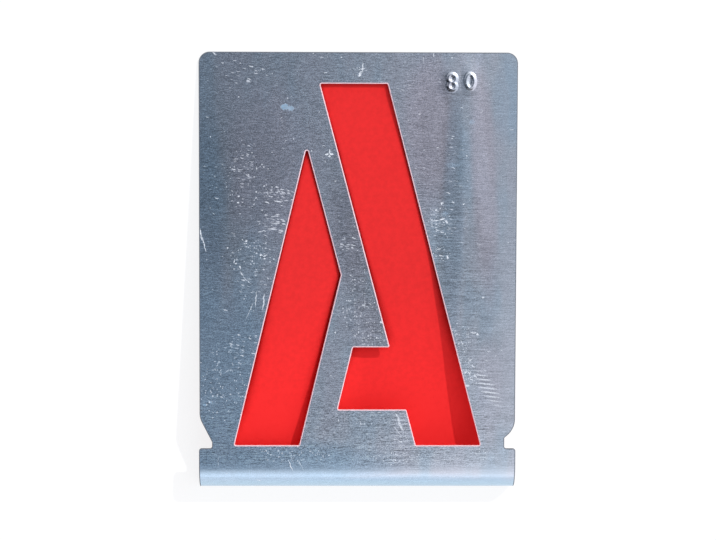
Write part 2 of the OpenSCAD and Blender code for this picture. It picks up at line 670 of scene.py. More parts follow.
class LipFold:
    """Geometry Nodes that fold the blank round the bend and lay the plate down."""

    def __init__(self, plate: StencilPlate) -> None:
        """Builds the tree.

        Args:
            plate: The plate whose sizes go into the tree's inputs.
        """
        self.sizes = {
            "Bend Line": plate.bend_y,
            "Inside Radius": plate.bend_r,
            "Lean": plate.lean,
            "Shift Along": plate.shift_y,
            "Shift Up": plate.shift_z,
            "Unit": MM,
        }
        self.tree = bpy.data.node_groups.new("lip_fold", "GeometryNodeTree")
        sockets = self.tree.interface
        sockets.new_socket("Geometry", in_out="OUTPUT", socket_type="NodeSocketGeometry")
        sockets.new_socket("Geometry", in_out="INPUT", socket_type="NodeSocketGeometry")
        for name in self.sizes:
            sockets.new_socket(name, in_out="INPUT", socket_type="NodeSocketFloat")
        for name in ("Face Finish", "Edge Finish"):
            sockets.new_socket(name, in_out="INPUT", socket_type="NodeSocketMaterial")
        self.wire()

    def wire(self) -> None:
        """Writes the fold as a formula on each point of the blank."""
        w = Wiring(self.tree)
        given = w.add("NodeGroupInput")
        size = {name: w.term(given, name) for name in self.sizes}
        across, along, height = w.split(w.term(w.add("GeometryNodeInputPosition")))
        past = w.math("MAXIMUM", size["Bend Line"] - along, 0.0)
        turn = w.math("MINIMUM", past / size["Inside Radius"], math.pi / 2)
        straight = past - turn * size["Inside Radius"]
        c, s = w.math("COSINE", turn), w.math("SINE", turn)
        level = w.math("MAXIMUM", along, size["Bend Line"])
        reach = size["Inside Radius"] + height
        y = level - reach * s - straight * c
        z = reach * c - size["Inside Radius"] - straight * s
        lean_c, lean_s = w.math("COSINE", size["Lean"]), w.math("SINE", size["Lean"])
        laid_y = y * lean_c + z * lean_s + size["Shift Along"]
        laid_z = z * lean_c - y * lean_s + size["Shift Up"]
        unit = size["Unit"]
        place = w.join(across * unit, laid_y * unit, laid_z * unit)
        moved = w.add(
            "GeometryNodeSetPosition", {"Geometry": w.term(given, 0), "Position": place}
        )
        real = w.add("GeometryNodeRealizeInstances", {0: w.term(moved)})
        faced = w.add(
            "GeometryNodeSetMaterial",
            {"Geometry": w.term(real), "Material": w.term(given, "Face Finish")},
        )
        cut = w.add("GeometryNodeInputNamedAttribute", {0: CUT_EDGE}, data_type="BOOLEAN")
        edged = w.add(
            "GeometryNodeSetMaterial",
            {
                "Geometry": w.term(faced),
                "Selection": w.term(cut),
                "Material": w.term(given, "Edge Finish"),
            },
        )
        w.add("NodeGroupOutput", {0: w.term(edged)})

    def folded(
        self, blank: bpy.types.Mesh, face: bpy.types.Material, edge: bpy.types.Material
    ) -> bpy.types.Mesh:
        """Runs the tree on the blank.

        Args:
            blank: The flat mesh, in millimetres.
            face: The finish of the faces.
            edge: The finish of the cut edges.

        Returns:
            The folded mesh, in metres, in its place.
        """
        worker = placed("stencil_blank", blank)
        fold = worker.modifiers.new("fold", "NODES")
        fold.node_group = self.tree
        values = {**self.sizes, "Face Finish": face, "Edge Finish": edge}
        for item in self.tree.interface.items_tree:
            if item.in_out == "INPUT" and item.name in values:
                fold[item.identifier] = values[item.name]
        seen = worker.evaluated_get(bpy.context.evaluated_depsgraph_get())
        mesh = bpy.data.meshes.new_from_object(seen)
        mesh.name = "folded_stencil_plate"
        bpy.data.objects.remove(worker)
        return mesh


# Finishes


class WearAndPaintedLight(Enum):
    """What a mark does to the sheet's face."""

    RUBBED = "rubbed bright and rough all over"
    DOTS = "scattered bright dots"
    DASHES = "scattered short bright scratches"
    RIPPLES = "fine level ripples"
    HAZE = "a pale bluish bloom"
    # Also painted shade round the raised number.
    DARKER_AND_SHADE = "a darker streak"
    PALE = "a paler streak"
    # Also a painted reflection along the lip's fold.
    COOL = "a bluish tone"
    WARM = "a warm, pinkish tone"


@dataclass(frozen=True)
class Mark:
    """A soft oval area on the front face, in millimetres on the flat blank: wear, tone, painted
    shade and painted reflection.

    The angle is in degrees, counter-clockwise from the plate's width.
    """

    x: float
    y: float
    half_length: float
    half_width: float
    angle: float = 0.0
    strength: float = 1.0


def marks(*rows: tuple[float, ...]) -> tuple[Mark, ...]:
    """Marks from rows of values, in the order in which Mark has them."""
    return tuple(Mark(*row) for row in rows)


WEAR_AND_PAINTED_LIGHT: dict[WearAndPaintedLight, tuple[Mark, ...]] = {
    WearAndPaintedLight.RUBBED: marks(
        (-31.6, 86.5, 0.6, 0.14, -40), (16.5, 86.3, 0.5, 0.1, 85, 0.8),
        (14.2, 85.4, 0.7, 0.12, 85, 0.35), (0.9, 83.5, 1.1, 0.13, 85, 0.8),
        (0.9, 83.3, 0.6, 0.13, 10, 0.7), (0.3, 82, 0.5, 0.28, 60),
        (-26.2, 77.1, 0.16, 0.16, 0, 0.8), (27.2, 74, 0.35, 0.09, 60, 0.5),
        (13.5, 73.3, 0.18, 0.14, 0, 0.6), (14.5, 65.5, 0.18, 0.16, 0, 0.6),
        (17.5, 66, 0.3, 0.12, 20, 0.7), (23.9, 64.2, 0.2, 0.14, -60, 0.6),
        (-6.3, 65.2, 0.5, 0.15, 85), (-6.9, 64.55, 0.45, 0.2, 15), (-5.85, 64.55, 0.45, 0.26, -15),
        (-6.35, 64.15, 0.35, 0.2, 0, 0.9), (-7.3, 62.9, 0.16, 0.14, 0, 0.8),
        (-22.4, 61.4, 0.5, 0.1, 88, 0.8), (-24.3, 59.8, 0.5, 0.1, -40, 0.7),
        (-5, 58.7, 0.2, 0.16, 0, 0.9), (-17.5, 56.4, 0.45, 0.1, -20, 0.9),
        (-17.8, 54.2, 0.75, 0.12, -10), (-19.2, 55.2, 0.5, 0.1, -8, 0.8),
        (-16.9, 53.4, 0.3, 0.12, -20, 0.8), (-26.3, 55.3, 0.25, 0.16, 0, 0.9),
        (-26.4, 53.9, 0.24, 0.22, 0, 1), (-17.9, 49.3, 0.55, 0.12, 4, 1),
        (-18.6, 50.9, 0.7, 0.1, 6, 0.7), (-19, 48.1, 0.7, 0.12, -6, 0.85),
        (-21.4, 47.5, 0.6, 0.1, 10, 0.7), (-20.4, 46.6, 0.35, 0.1, -25, 0.7),
        (-24.6, 45.4, 0.22, 0.2, 0, 1), (-24.6, 44.2, 0.24, 0.13, 10, 0.9),
        (-23.8, 44.3, 0.14, 0.14, 0, 0.8), (-28.7, 43.9, 0.2, 0.2, 0, 0.9),
        (-21.4, 42.3, 0.26, 0.22, 20, 1), (-20.4, 42.2, 0.5, 0.12, 25, 0.9),
        (-20.6, 41.5, 0.22, 0.2, 0, 0.9), (-27.2, 41, 0.5, 0.12, 75, 0.8),
        (-26.9, 40.4, 0.2, 0.16, 0, 0.8), (-26, 39.6, 0.35, 0.13, -55, 0.9),
        (-25.7, 38.2, 0.6, 0.1, -50, 0.75), (-24.5, 36.8, 1.5, 0.08, -42, 0.55),
        (-20.8, 39.2, 0.2, 0.14, 30, 0.7), (-19.9, 37.2, 0.3, 0.14, -50, 0.8),
        (-22.5, 32.6, 1.8, 0.1, 87, 0.8), (-20.8, 31.9, 1.9, 0.15, 85, 0.85),
        (-23.8, 30.1, 1.8, 0.08, 67, 0.8), (-34.7, 47.2, 1.9, 0.17, -78, 1),
        (-33.9, 44.7, 1.7, 0.12, -76, 0.9), (-30.9, 18.2, 0.9, 0.11, 60, 0.5),
        (-30.4, 16.6, 0.6, 0.1, 55, 0.4), (-28.8, 16.6, 0.6, 0.14, 30, 0.45),
        (-30.1, 10.8, 0.35, 0.1, -30, 0.8), (-33.4, 9.2, 0.2, 0.18, 0, 0.7),
        (-32.2, 9.7, 0.16, 0.16, 0, 0.6), (-14.85, -4.5, 1.3, 0.1, -70, 1),
        (-12.6, -4.4, 1.2, 0.06, -58, 0.5), (-30.9, -3.7, 1.3, 0.07, 86, 0.4),
        (18.5, 53.8, 0.35, 0.18, 20, 0.9), (23.3, 53.6, 0.2, 0.16, 60, 0.9),
        (17.2, 52.4, 0.3, 0.2, -20, 1), (17.2, 50, 0.7, 0.13, 5, 1), (18.4, 50.3, 0.5, 0.17, 0, 1),
        (19.5, 49.7, 0.4, 0.19, -40, 1), (17.9, 43.7, 0.45, 0.11, 10, 0.9),
        (18.3, 42.2, 0.3, 0.12, 0, 1), (17.2, 42.1, 0.3, 0.1, 0, 0.7),
        (19.8, 41.9, 0.45, 0.19, 86, 0.9), (27.7, 33, 0.24, 0.2, 0, 0.8),
        (1.2, 31.2, 0.5, 0.16, -15, 0.9), (5.1, 27.5, 0.3, 0.2, 60, 0.9),
        (-4.9, 25.2, 0.2, 0.2, 0, 0.9), (25.6, 25.2, 0.65, 0.12, 0, 0.9),
        (26.5, 24.8, 0.26, 0.24, 0, 0.9), (25.6, 17.7, 0.5, 0.13, -55, 0.9),
        (26.1, 15.6, 0.5, 0.14, -62, 0.9), (25.2, 14.8, 0.45, 0.15, -25, 0.8),
        (24.9, 19, 0.45, 0.12, 40, 0.8), (24, 16.4, 0.5, 0.16, 50, 0.9),
        (24.7, 16.2, 0.55, 0.16, -50, 0.9), (24.3, 13.4, 0.55, 0.18, -8, 0.8),
        (22.8, 18.4, 0.2, 0.2, 0, 0.8), (8.7, 6.8, 0.5, 0.14, -45, 0.8),
        (9.25, 5.2, 1.3, 0.26, -74, 0.75), (9.8, 3.8, 0.7, 0.22, -60, 0.7),
        (8.9, 3.2, 1.3, 0.12, -52, 0.55), (9.6, 0.9, 0.5, 0.11, -25, 1),
        (8.3, 1.4, 0.8, 0.16, -10, 0.5), (10.9, 1.6, 0.9, 0.1, -70, 0.4),
    ),
    WearAndPaintedLight.HAZE: marks(
        (-16.1, 74.9, 1, 0.75, 0, 0.95), (-14.8, 74.6, 0.7, 0.6, 0, 0.8),
        (25, 71.7, 0.65, 0.55, 20, 0.4), (20.8, 62.2, 1.5, 0.6, 0, 0.3),
        (19.1, 51.5, 0.8, 0.6, 0, 0.35), (-33.9, 9, 0.4, 0.35, 0, 0.8),
        (-32.6, 9.6, 0.4, 0.3, 0, 0.6),
    ),
    WearAndPaintedLight.DOTS: marks(
        (-24, 43, 5, 3.6, 0, 0.4), (24.6, 16.8, 3.6, 1.5, 114, 1), (-25, 58, 6.5, 7, 0, 0.16),
        (-29, 14, 6, 9, 0, 0.22), (-14, -1.8, 8, 2.2, 0, 0.6), (1, 30, 4.5, 9.5, 12, 0.4),
        (22.9, 24, 2.6, 3.4, 15, 0.7), (9, -2.6, 6, 1.2, 0, 0.45), (20.5, -2.6, 2, 1.2, 0, 0.5),
        (28, -2, 1.6, 1.6, 0, 0.6), (0, 5.6, 5, 1.2, 0, 0.35), (17.6, 51, 2.2, 2.4, 0, 0.6),
        (18.5, 43, 2.2, 2, 0, 0.45), (0.2, 82.6, 1.4, 1.2, 0, 0.6),
    ),
    WearAndPaintedLight.DASHES: marks(
        (-18, 55.6, 3.6, 2, -8, 0.9), (-18.6, 49.2, 3.2, 2.2, 0, 0.9), (-25.5, 62, 3, 5, 0, 0.3),
        (-25, 82.5, 7, 3, 0, 0.12), (-23, 36, 3.5, 3, 0, 0.4), (-25, 22, 4, 3, 0, 0.45),
        (18.6, 49, 3.8, 2, 0, 0.6), (-2, 44.5, 2.4, 2.2, 0, 0.6), (22, 58, 3, 12, 0, 0.12),
    ),
    WearAndPaintedLight.RIPPLES: marks(
        (28.8, 12.9, 4.8, 1.6, -58, 1), (9.6, 4.2, 3.6, 1.4, -70, 0.3),
    ),
    # Darker streaks. Those on and round the raised number, left of it and below it, are painted
    # shade.
    WearAndPaintedLight.DARKER_AND_SHADE: marks(
        (20.2, 50, 3, 32, -1, 1), (1.5, 38, 4.8, 26, 14, 0.95), (25, 36, 6, 20, 0, 0.45),
        (22.4, 80, 3.4, 2.6, 0, 0.3), (19.1, 80, 1, 2.6, 0, 0.9), (22.6, 77.9, 3.8, 0.8, 0, 0.9),
        (-31, 55, 7, 20, 0, 0.6), (-22.5, 60, 6, 12, 0, 0.4), (16, 64, 3.4, 14, 0, 0.4),
        (21, 76.6, 2.6, 1.4, 0, 0.8), (0, 8, 10, 10, 0, 0.25), (27, 5, 10, 6, 0, 0.25),
        (2, 26.5, 6, 5.5, 0, 0.5), (29, 18, 4.5, 9, 0, 0.25),
    ),
    WearAndPaintedLight.PALE: marks(
        (24.9, 85.6, 2.4, 3.6, 0, 0.9), (27.2, 62, 18, 1.6, 94, 0.5),
    ),
    WearAndPaintedLight.COOL: marks(
        (21, 50, 2.4, 30, -1, 0.45), (-33, 40, 3.6, 36, 0, 0.6), (-26, 12, 13, 22, 0, 0.75),
        # The last mark tints the lip's fold blue: a painted reflection.
        (-18, -5, 26, 6, 0, 0.8), (33, 76, 3.5, 9, 0, 0.35), (0, -10.6, 60, 4, 0, 1),
    ),
    WearAndPaintedLight.WARM: marks(
        (27.7, 60, 27, 2.8, 93, 0.8), (15.6, 70, 6, 18, 0, 0.95), (-19, 62, 10, 17, 0, 0.6),
        (-2, 48, 5, 14, 0, 0.6), (1.5, 27, 5, 6, 0, 0.4), (29, 12, 3, 12, 0, 0.4),
    ),
}


@dataclass(frozen=True)
class OvalMarks:
    """Draws soft oval marks in a material.

    The place is on the blank, with 1 as its third part. The shift is how far that place is moved
    on average, across and up, in millimetres. A mark fades from the core to the rim, which are
    squared distances from its middle, counted in half lengths and half widths.
    """

    w: Wiring
    place: Term
    shift: float = 0.0
    core: float = 0.2
    rim: float = 1.56

    def draw(self, mark: Mark) -> Term:
        """One mark: its strength in the middle, falling to nothing at its rim."""
        c, s = math.cos(math.radians(mark.angle)), math.sin(math.radians(mark.angle))
        long, wide = mark.half_length, mark.half_width
        x, y = mark.x + self.shift, mark.y + self.shift
        along = self.dot(c / long, s / long, -(x * c + y * s) / long)
        across = self.dot(-s / wide, c / wide, (x * s - y * c) / wide)
        reach = self.w.math("MULTIPLY_ADD", along, along, across * across)
        return self.w.ramp(reach, Ramp(self.core, self.rim, mark.strength, 0))

    def dot(self, x: float, y: float, plain: float) -> Term:
        """The place's two parts, each multiplied, and a plain number, added up."""
        feeds = {0: self.place, 1: (x, y, plain)}
        node = self.w.add("ShaderNodeVectorMath", feeds, operation="DOT_PRODUCT")
        return self.w.term(node, "Value")

    def all(self, wear: WearAndPaintedLight) -> Term:
        """The strongest of every mark of one kind."""
        strongest = self.draw(WEAR_AND_PAINTED_LIGHT[wear][0])
        for mark in WEAR_AND_PAINTED_LIGHT[wear][1:]:
            strongest = self.w.math("MAXIMUM", strongest, self.draw(mark))
        return strongest


@dataclass(frozen=True)
class RolledAluminium:
    """Mill finish of the sheet's faces: fine grain across the plate, mottling and wear.

    Some of it is painted light: painted shade round the raised number and on its slopes turned
    away from the sun, a painted highlight on its slopes turned towards the sun, and a painted
    reflection along the fold.

    Places and gaps are in millimetres on the flat blank, and rates are features per millimetre,
    across and up. The depth of the grain is in metres. A ramp's name says what it gives and what
    it works on.
    """

    # Colours
    metal: Colour = (0.63, 0.705, 0.785, 1)
    cool: Colour = (0.49, 0.66, 0.81, 1)
    warm: Colour = (0.72, 0.685, 0.76, 1)
    bloom: Colour = (0.29, 0.5, 0.69, 1)
    # Pale colour of the scratches and specks, and of the painted highlight on the raised number.
    rubbed_and_highlight: Colour = (0.9, 0.95, 1.0, 1)
    warm_by_cloud: Ramp = Ramp(0.4, 0.65, 0, 0.35)
    cool_by_cloud: Ramp = Ramp(0.35, 0.5, 0.3, 0)

    # How light the metal is, and what makes it lighter and darker
    level: float = 0.94
    grain_tone: float = 0.9
    mottle_tone: float = 1.3
    brushed_by_across: Ramp = Ramp(-4, 12, 0.5, 1.3)
    brushed_by_along: Ramp = Ramp(45, 68, 1, 0.35)
    streak_by_across: Ramp = Ramp(12, 22, 1, 0.75)
    streak_by_along: Ramp = Ramp(4, 16, 1.4, 1)
    darker_and_shade_tone: float = 0.24
    painted_shade_tone: float = 0.7
    pale_tone: float = 0.2
    trough_tone: float = 0.2

    # How matt and how rough the surface is, and its relief
    scatter: float = 0.72
    roughness: float = 0.16
    grain_rough: float = 0.06
    bright_rough: float = 0.3
    pressed_rough: float = 0.1
    bloom_rough: float = 0.2
    grain_depth: float = 0.000007
    mottle_relief: float = 0.8
    hair_relief: float = 0.4

    # Noises, and how far the last of them pushes the rubbed marks about
    grain_rate: tuple[float, float] = (0.9, 5.5)
    hair_rate: tuple[float, float] = (1.8, 9.0)
    brushed_rate: tuple[float, float] = (0.24, 6.6)
    mottle_rate: float = 3.6
    cloud_rate: float = 0.16
    cloud_stretch: float = 0.25
    wander_rate: float = 1.6
    fray: float = 0.6

    # The front face, its flat part, the raised number, and the painted shade and painted highlight
    # on its sides
    front_by_height: Ramp = Ramp(0.2, 0.3)
    flat_by_along: Ramp = Ramp(-5.8, -3.4, 0.2, 1)
    flat_by_across: Ramp = Ramp(24, 34, 1, 0.6)
    pressed_by_gap: Ramp = Ramp(0.4, 0.8, 1, 0)
    digit_by_gap: Ramp = Ramp(0.8, 1.2, 1, 0)
    lit_side: tuple[float, float] = (0.4, 0.92)
    painted_shade_by_facing: Ramp = Ramp(-0.36, -0.04, 1, 0)
    painted_highlight_by_facing: Ramp = Ramp(0.1, 0.4)
    painted_highlight_bright: float = 0.4

    # Specks. The shares are those inside an area of wear and everywhere.
    dot_rate: tuple[float, float] = (2.3, 2.3)
    dash_rate: tuple[float, float] = (0.8, 3.2)
    dash_turn: float = 10
    dot_shares: tuple[float, float] = (0.7, 0.006)
    dash_shares: tuple[float, float] = (0.8, 0.005)
    speck_radius: float = 0.32
    least_size: float = 0.6
    speck_edge: float = 2.2
    least_bright: float = 0.15
    speck_bright: float = 0.75

    # Ripples, and how the mottling breaks up the wear
    ripple_rate: float = 6.9
    ripple_slope: float = 0.1
    crest_by_wave: Ramp = Ramp(0.2, 1.0)
    trough_by_wave: Ramp = Ramp(-1.0, -0.3, 1, 0)
    rubbed_by_mottle: Ramp = Ramp(0.32, 0.55, 0.45, 1)
    ripple_by_mottle: Ramp = Ramp(0.35, 0.55, 0.6, 1)
    bloom_by_mottle: Ramp = Ramp(0.4, 0.6, 0.45, 1)

    def specks(self, w: Wiring, place: Term, share: Term, rate: tuple[float, float]) -> Term:
        """Scatters bright specks where an area of wear asks for them.

        Args:
            w: The material's wiring.
            place: The place on the blank.
            share: How many of the possible specks there are, from 0 to 1.
            rate: Possible specks per millimetre across and up the plate.

        Returns:
            The specks' share at each place.
        """
        feeds = {"Vector": w.stretch(place, *rate, 0), "Scale": 1.0}
        cells = w.add("ShaderNodeTexVoronoi", feeds, voronoi_dimensions="2D")
        chance, bright, size = w.split(w.term(cells, "Color"))
        there = w.math("LESS_THAN", chance, share)
        reach = self.speck_radius * (self.least_size + size)
        drop = w.math("SUBTRACT", 1.0, w.term(cells, "Distance") / reach, clamp=True)
        shape = there * w.math("MINIMUM", drop * self.speck_edge, 1.0)
        return shape * (self.least_bright + (1 - self.least_bright) * bright)

    def material(self) -> bpy.types.Material:
        """Builds the material."""
        material, w = new_material("rolled_aluminium")
        place = w.attribute(BLANK_PLACE, "Vector")
        across, along, height = w.split(place)
        front = w.ramp(height, self.front_by_height)
        flat = w.ramp(along, self.flat_by_along) * w.ramp(across, self.flat_by_across)
        gap = w.attribute(STROKE_GAP, "Fac")
        pressed = w.ramp(gap, self.pressed_by_gap) * front
        # The raised number's slopes get painted light by how they face the sun: painted shade
        # where turned away, a painted highlight where turned towards it.
        normal_x, normal_y, _ = w.split(w.term(w.add("ShaderNodeNewGeometry"), "Normal"))
        facing = self.lit_side[0] * normal_x + self.lit_side[1] * normal_y
        facing = facing * w.ramp(gap, self.digit_by_gap) * front
        painted_shade = w.ramp(facing, self.painted_shade_by_facing)
        painted_highlight = w.ramp(facing, self.painted_highlight_by_facing)
        grain = w.noise(w.stretch(place, *self.grain_rate, 1), 1.0)
        hair = w.noise(w.stretch(place, *self.hair_rate, 1), 1.0)
        brushed = w.noise(w.stretch(place, *self.brushed_rate, 1), 1.0)
        mottle = w.noise(place, self.mottle_rate, 3, 0.6)
        cloud = w.noise(w.stretch(place, 1, self.cloud_stretch, 1), self.cloud_rate)

        feeds = {"Vector": place, "Scale": self.wander_rate, "Detail": 3.0}
        wander = w.term(w.add("ShaderNodeTexNoise", feeds), "Color")
        feeds = {0: wander, 1: (self.fray, self.fray, 0.0), 2: place}
        ragged = w.term(w.add("ShaderNodeVectorMath", feeds, operation="MULTIPLY_ADD"))
        smooth_marks = OvalMarks(w, w.join(across, along, 1.0))
        ragged_marks = OvalMarks(w, w.join(*w.split(ragged)[:2], 1.0), self.fray / 2)
        smooth = [wear for wear in WearAndPaintedLight if wear is not WearAndPaintedLight.RUBBED]
        marked = {wear: smooth_marks.all(wear) * front for wear in smooth}
        solid = ragged_marks.all(WearAndPaintedLight.RUBBED) * front * w.ramp(mottle, self.rubbed_by_mottle)
        feeds = {"Vector": ragged, "Angle": math.radians(self.dash_turn)}
        turned = w.term(w.add("ShaderNodeVectorRotate", feeds, rotation_type="Z_AXIS"))
        there, anywhere = self.dot_shares
        share = marked[WearAndPaintedLight.DOTS] * there + front * anywhere
        dots = self.specks(w, ragged, share, self.dot_rate)
        there, anywhere = self.dash_shares
        share = marked[WearAndPaintedLight.DASHES] * there + front * anywhere
        dashes = self.specks(w, turned, share, self.dash_rate)
        wave = w.math("SINE", (along + self.ripple_slope * across) * self.ripple_rate)
        uneven = w.ramp(mottle, self.ripple_by_mottle)
        ripple = marked[WearAndPaintedLight.RIPPLES] * w.ramp(wave, self.crest_by_wave) * uneven
        trough = marked[WearAndPaintedLight.RIPPLES] * w.ramp(wave, self.trough_by_wave) * uneven
        specks = self.speck_bright * w.math("MAXIMUM", dots, dashes)
        bright = w.math("MAXIMUM", solid, specks)
        # The number's slopes turned towards the sun get a painted highlight, mixed in with the
        # bright scratches, specks and ripples.
        ripple, painted_highlight = self.speck_bright * ripple, self.painted_highlight_bright * painted_highlight
        bright = w.math("MAXIMUM", bright, w.math("MAXIMUM", ripple, painted_highlight))

        tone = w.blend(w.ramp(cloud, self.warm_by_cloud), self.metal, self.warm)
        tone = w.blend(w.ramp(cloud, self.cool_by_cloud), tone, self.cool)
        tone = w.blend(marked[WearAndPaintedLight.WARM], tone, self.warm)
        tone = w.blend(marked[WearAndPaintedLight.COOL], tone, self.cool)
        lines = w.ramp(across, self.brushed_by_across) * w.ramp(along, self.brushed_by_along)
        streak = self.grain_tone * (grain - 0.5) + (hair - 0.5) + self.mottle_tone * (mottle - 0.5)
        streak = (streak + lines * (brushed - 0.5)) * w.ramp(across, self.streak_by_across)
        streak = streak * w.ramp(along, self.streak_by_along)
        shade = self.level + streak * flat
        # Painted shade: the darker streaks round the raised number, and the number's slopes turned
        # away from the sun.
        shade = shade - self.darker_and_shade_tone * marked[WearAndPaintedLight.DARKER_AND_SHADE] - self.painted_shade_tone * painted_shade
        shade = shade + self.pale_tone * marked[WearAndPaintedLight.PALE] - self.trough_tone * trough
        tone = w.shaded(tone, shade)
        bloomed = marked[WearAndPaintedLight.HAZE] * w.ramp(mottle, self.bloom_by_mottle)
        tone = w.blend(bloomed, tone, self.bloom)
        tone = w.blend(bright, tone, self.rubbed_and_highlight)

        rough = self.roughness + self.grain_rough * grain + self.grain_rough * mottle
        rough = rough + bright * self.bright_rough
        rough = rough + self.pressed_rough * pressed + self.bloom_rough * bloomed
        relief = flat * (grain + self.mottle_relief * mottle + self.hair_relief * hair)
        normal = w.bump(relief, self.grain_depth)
        metallic = 1.0 - self.scatter * w.math("MAXIMUM", bright, bloomed)
        w.surface(
            {"Base Color": tone, "Metallic": metallic, "Roughness": rough, "Normal": normal}
        )
        return material


@dataclass(frozen=True)
class ShearedMetal:
    """Torn metal of the cut edges: bright round the letter, tinted pink there by a painted
    reflection of the red card, and dull outside.

    Rates are features per millimetre. The depth of the tears is in metres.
    """

    plate: StencilPlate
    # The pink of the next two colours is a painted reflection of the red card.
    metal: Colour = (0.96, 0.68, 0.72, 1)
    dull: Colour = (0.82, 0.58, 0.62, 1)
    outside: Colour = (0.16, 0.18, 0.21, 1)
    metallic: float = 0.35
    roughness: float = 0.5
    tear_rough: float = 0.2
    tear_rate: float = 4.0
    tear_stretch: float = 0.3
    tear_depth: float = 0.00002
    dull_by_tear: Ramp = Ramp(0.45, 0.75)
    outside_by_gap: Ramp = Ramp(-4.2, -3.6)

    def material(self) -> bpy.types.Material:
        """Builds the material."""
        material, w = new_material("sheared_metal")
        place = w.attribute(BLANK_PLACE, "Vector")
        tear = w.noise(w.stretch(place, 1, 1, self.tear_stretch), self.tear_rate, 3, 0.6)
        across, along, _ = w.split(place)
        middle = (self.plate.top_y + self.plate.bend_y) / 2
        side = w.math("ABSOLUTE", across) - self.plate.plate_w / 2
        end = w.math("ABSOLUTE", along - middle) - (self.plate.top_y - middle)
        outer = w.ramp(w.math("MAXIMUM", side, end), self.outside_by_gap)
        tone = w.blend(w.ramp(tear, self.dull_by_tear), self.metal, self.dull)
        tone = w.blend(outer, tone, self.outside)
        rough = self.roughness + self.tear_rough * tear
        normal = w.bump(tear, self.tear_depth)
        w.surface(
            {"Base Color": tone, "Metallic": self.metallic, "Roughness": rough, "Normal": normal}
        )
        return material


# The stage


